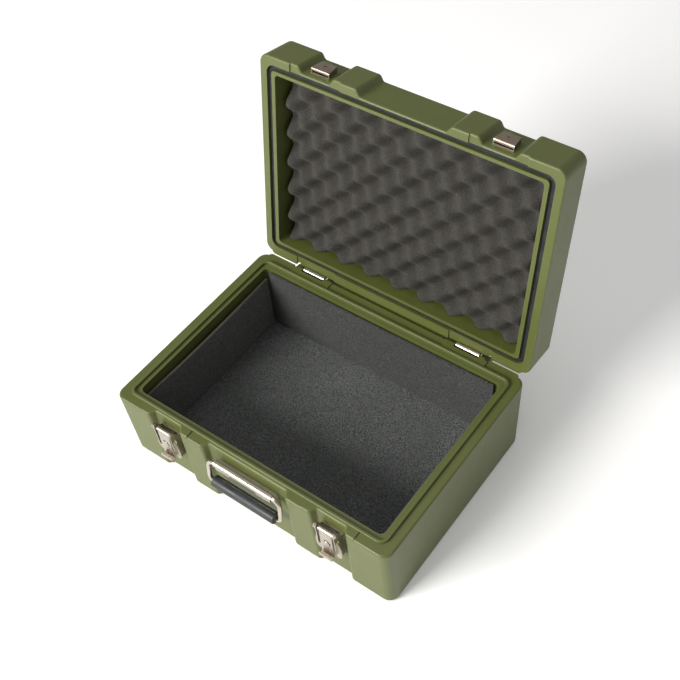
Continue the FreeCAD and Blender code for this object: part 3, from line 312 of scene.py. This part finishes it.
def soft_slab(name, lo, hi, radius, step, shape, mat):
    """A closed slab of foam between two corners with rounded cut edges. shape(p, n) gives its final point."""
    lo, hi = np.array(lo, float), np.array(hi, float)
    axes = [lines(lo[i], hi[i], radius, step) for i in range(3)]
    index, verts, faces = {}, [], []

    def vid(p):
        key = tuple(int(round(c * 1e7)) for c in p)
        if key not in index:
            index[key] = len(verts)
            verts.append(p)
        return index[key]

    for ax in range(3):
        u, v = [i for i in range(3) if i != ax]
        for side in (lo[ax], hi[ax]):
            grid = []
            for a in axes[u]:
                row = []
                for b in axes[v]:
                    p = [0.0, 0.0, 0.0]
                    p[ax], p[u], p[v] = side, a, b
                    row.append(vid(p))
                grid.append(row)
            for i in range(len(axes[u]) - 1):
                for j in range(len(axes[v]) - 1):
                    faces.append((grid[i][j], grid[i + 1][j], grid[i + 1][j + 1], grid[i][j + 1]))
    out = []
    for p in verts:
        p = np.array(p)
        q = np.clip(p, lo + radius, hi - radius)
        d = p - q
        n = d / (np.linalg.norm(d) or 1.0)
        out.append(shape(q + radius * n, n))
    return mesh_object(name, out, faces, mat)


def wave(p, scale, seed):
    return noise.noise(Vector((p[0] * scale + seed, p[1] * scale - seed, p[2] * scale + 2 * seed)))


def pad(node, normal, body, bow=0.0, seed=0.0, amp=0.5, radius=1.2, mat=None, ripple=0.0):
    """Sheet-foam pad in the space of its solid. normal is the exposed side; the sheet bows that way by bow (mm)."""
    lo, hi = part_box(node)
    lo, hi = np.array(lo), np.array(hi)
    size = hi - lo
    nrm = np.array(normal, float)
    ax = int(np.argmax(np.abs(nrm)))
    u, v = [i for i in range(3) if i != ax]

    def shape(p, n):
        s = (p - lo) / size
        q = p.copy()
        # cut edges run a little wavy, and the faces are never quite flat
        face = abs(n[ax])
        q -= n * amp * MM * (0.5 + 0.5 * wave(p, 14.0, seed)) * (0.4 + 0.6 * face)
        q -= n * 0.25 * MM * (0.5 + 0.5 * wave(p, 90.0, seed + 3.0))
        if ripple:
            q -= n * ripple * MM * face * (0.5 + 0.5 * math.sin(6.283 * (p[0] / 0.085 + 0.6 * wave(p, 5.0, seed + 7.0))))
        if bow:
            high = max(0.0, s[2]) ** 1.5
            q += nrm * bow * MM * high * (math.sin(math.pi * s[u]) ** 1.2 if 0 < s[u] < 1 else 0.0)
        return q

    o = soft_slab(node + "_soft", lo, hi, radius * MM, 7.0 * MM, shape, mat or MATS["foam_charcoal"])
    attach(o, body)
    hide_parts(node)
    return o


SHEET = ((0.004, 0.0045, 0.005), (0.047, 0.050, 0.048), (0.135, 0.141, 0.139))
# painted light and shade: the same sheet foam in brightness copies, lifted on the floor, left and front pads and
# darkened on the back pad to stand in for how the light falls on each
floor_foam_painted_light = foam_material("sheet_foam_floor_painted_light", *scaled3(1.72, *SHEET))
left_foam_painted_light = foam_material("sheet_foam_left_painted_light", *scaled3(2.3, *SHEET), pale_top_band=(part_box("foam_left")[1][2], (0.110, 0.092, 0.072)))
front_foam_painted_light = foam_material("sheet_foam_front_painted_light", *scaled3(1.9, *SHEET))
back_foam_painted_shade = foam_material("sheet_foam_back_painted_shade", *scaled3(0.82, *SHEET))

pad("foam_floor", (0, 0, 1), "base", seed=1.3, amp=0.7, ripple=0.5, mat=floor_foam_painted_light)
pad("foam_left", (1, 0, 0), "base", bow=2.6, seed=5.1, amp=0.6, mat=left_foam_painted_light)
pad("foam_right", (-1, 0, 0), "base", bow=0.8, seed=8.7, amp=0.6)
pad("foam_back", (0, -1, 0), "base", bow=0.6, seed=11.9, amp=0.7, mat=back_foam_painted_shade)
pad("foam_front", (0, 1, 0), "base", bow=0.6, seed=15.4, amp=0.7, mat=front_foam_painted_light)


def eggcrate():
    """Convoluted foam sheet of the lid: one smooth wave with staggered peaks, cut square at its edges."""
    x1, y1 = 192.0, 134.0
    back, root, tip = 175.66, 155.66, 134.66      # closed lid: sheet's back, wave's valleys, peaks
    step = 2.0
    nx, ny = int(round(2 * x1 / step)), int(round(2 * y1 / step))
    xs = np.linspace(-x1, x1, nx + 1)
    ys = np.linspace(-y1, y1, ny + 1)
    verts, faces = [], []
    half = 23.0

    def height(x, y):
        # neighbouring peaks lean and differ a little, as cut foam does
        wx = x + 2.7 + 1.6 * noise.noise(Vector((x / 40.0, y / 40.0, 3.1)))
        wy = y - 1.56 + 1.6 * noise.noise(Vector((x / 40.0, y / 40.0, 9.7)))
        c = math.cos(math.pi * wx / half) * math.cos(math.pi * wy / half)
        h = 0.5 + 0.5 * c
        h = h ** 0.85
        return root + (tip - root) * h * (1.0 + 0.05 * noise.noise(Vector((x / 30.0, y / 30.0, 21.0))))

    for i, x in enumerate(xs):
        for j, y in enumerate(ys):
            verts.append((x, y, height(x, y)))
    top = lambda i, j: i * (ny + 1) + j
    for i in range(nx):
        for j in range(ny):
            faces.append((top(i, j), top(i + 1, j), top(i + 1, j + 1), top(i, j + 1)))
    # cut sides, in rings from the wave's rim down to the back
    rim = ([(i, 0) for i in range(nx)] + [(nx, j) for j in range(ny)]
           + [(i, ny) for i in range(nx, 0, -1)] + [(0, j) for j in range(ny, 0, -1)])
    prev = [top(i, j) for i, j in rim]
    rows = 5
    for k in range(1, rows + 1):
        cur = []
        f = k / rows
        for n, (i, j) in enumerate(rim):
            x, y, z = verts[top(i, j)]
            inset = 0.35 * math.sin(math.pi * f) + 0.25 * noise.noise(Vector((x / 9.0, y / 9.0, k * 3.3)))
            cx = x - math.copysign(inset, x) * (1 if i in (0, nx) else 0)
            cy = y - math.copysign(inset, y) * (1 if j in (0, ny) else 0)
            cur.append(len(verts))
            verts.append((cx, cy, z + (back - z) * f))
        for n in range(len(rim)):
            m = (n + 1) % len(rim)
            faces.append((prev[n], prev[m], cur[m], cur[n]))
        prev = cur
    base = len(verts)
    # flat back
    cols = 24
    ring = prev
    faces.append(tuple(ring))
    pts = [LID @ Vector((x * MM, y * MM, z * MM)) for x, y, z in verts]
    o = mesh_object("lid_foam_soft", pts, faces, MATS["foam_eggcrate"])
    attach(o, "lid")
    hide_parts("lid_foam")
    return o


eggcrate()


# ------------------------------------------------------------------ set, light, camera
def floor_material():
    t = Tree("pale_floor")
    n = t.noise(3.0, 2.0, 0.5)
    return t.set(Base_Color=t.mix(t.span(n, 0.3, 0.7), (0.955, 0.955, 0.955), (0.97, 0.97, 0.97)), Roughness=0.9,
                 Specular_IOR_Level=0.1, Emission_Color=(1.0, 1.0, 1.0), Emission_Strength=0.14)


bm = bmesh.new()
bmesh.ops.create_circle(bm, cap_ends=True, radius=9.0, segments=96)
me = bpy.data.meshes.new("floor")
bm.to_mesh(me)
bm.free()
floor = bpy.data.objects.new("floor", me)
floor.location = (0, 0, -0.0004)
me.materials.append(floor_material())
scene.collection.objects.link(floor)

world = bpy.data.worlds.new("studio")
world.use_nodes = True
wt = world.node_tree
bg = wt.nodes["Background"]
wco = wt.nodes.new("ShaderNodeTexCoord")
wsep = wt.nodes.new("ShaderNodeSeparateXYZ")
wt.links.new(wco.outputs["Generated"], wsep.inputs[0])
wramp = wt.nodes.new("ShaderNodeMapRange")
for k, v in (("From Min", 0.0), ("From Max", 0.75), ("To Min", 0.50), ("To Max", 0.25)):
    wramp.inputs[k].default_value = v
wt.links.new(wsep.outputs["Z"], wramp.inputs["Value"])
wt.links.new(wramp.outputs["Result"], bg.inputs["Strength"])
bg.inputs["Color"].default_value = (1.0, 0.99, 0.97, 1.0)
scene.world = world


def area(name, loc, target, size, power, color=(1, 1, 1)):
    d = bpy.data.lights.new(name, "AREA")
    d.shape = "RECTANGLE"
    d.size, d.size_y = size
    d.energy = power
    d.color = color
    o = bpy.data.objects.new(name, d)
    o.location = loc
    o.rotation_euler = (Vector(target) - Vector(loc)).to_track_quat("-Z", "Y").to_euler()
    scene.collection.objects.link(o)
    return o


area("key", (-1.75, -4.15, 2.72), (0.0, 0.0, 0.12), (2.5, 2.0), 380.0, (1.0, 0.985, 0.96))
area("top", (-0.2, 0.3, 2.6), (0.0, 0.0, 0.1), (1.6, 1.6), 12.0)

cam = bpy.data.cameras.new("camera")
cam.sensor_width = 36.0
cam.lens = 57.145
cam.clip_start, cam.clip_end = 0.02, 50.0
camera = bpy.data.objects.new("camera", cam)
camera.matrix_world = Matrix((
    (0.8024, -0.4160, 0.4280, 0.61625),
    (0.5925, 0.6420, -0.4867, -0.64594),
    (-0.0723, 0.6441, 0.7615, 1.26460),
    (0.0, 0.0, 0.0, 1.0)))
scene.collection.objects.link(camera)
scene.camera = camera
scene.view_settings.view_transform = "Standard"
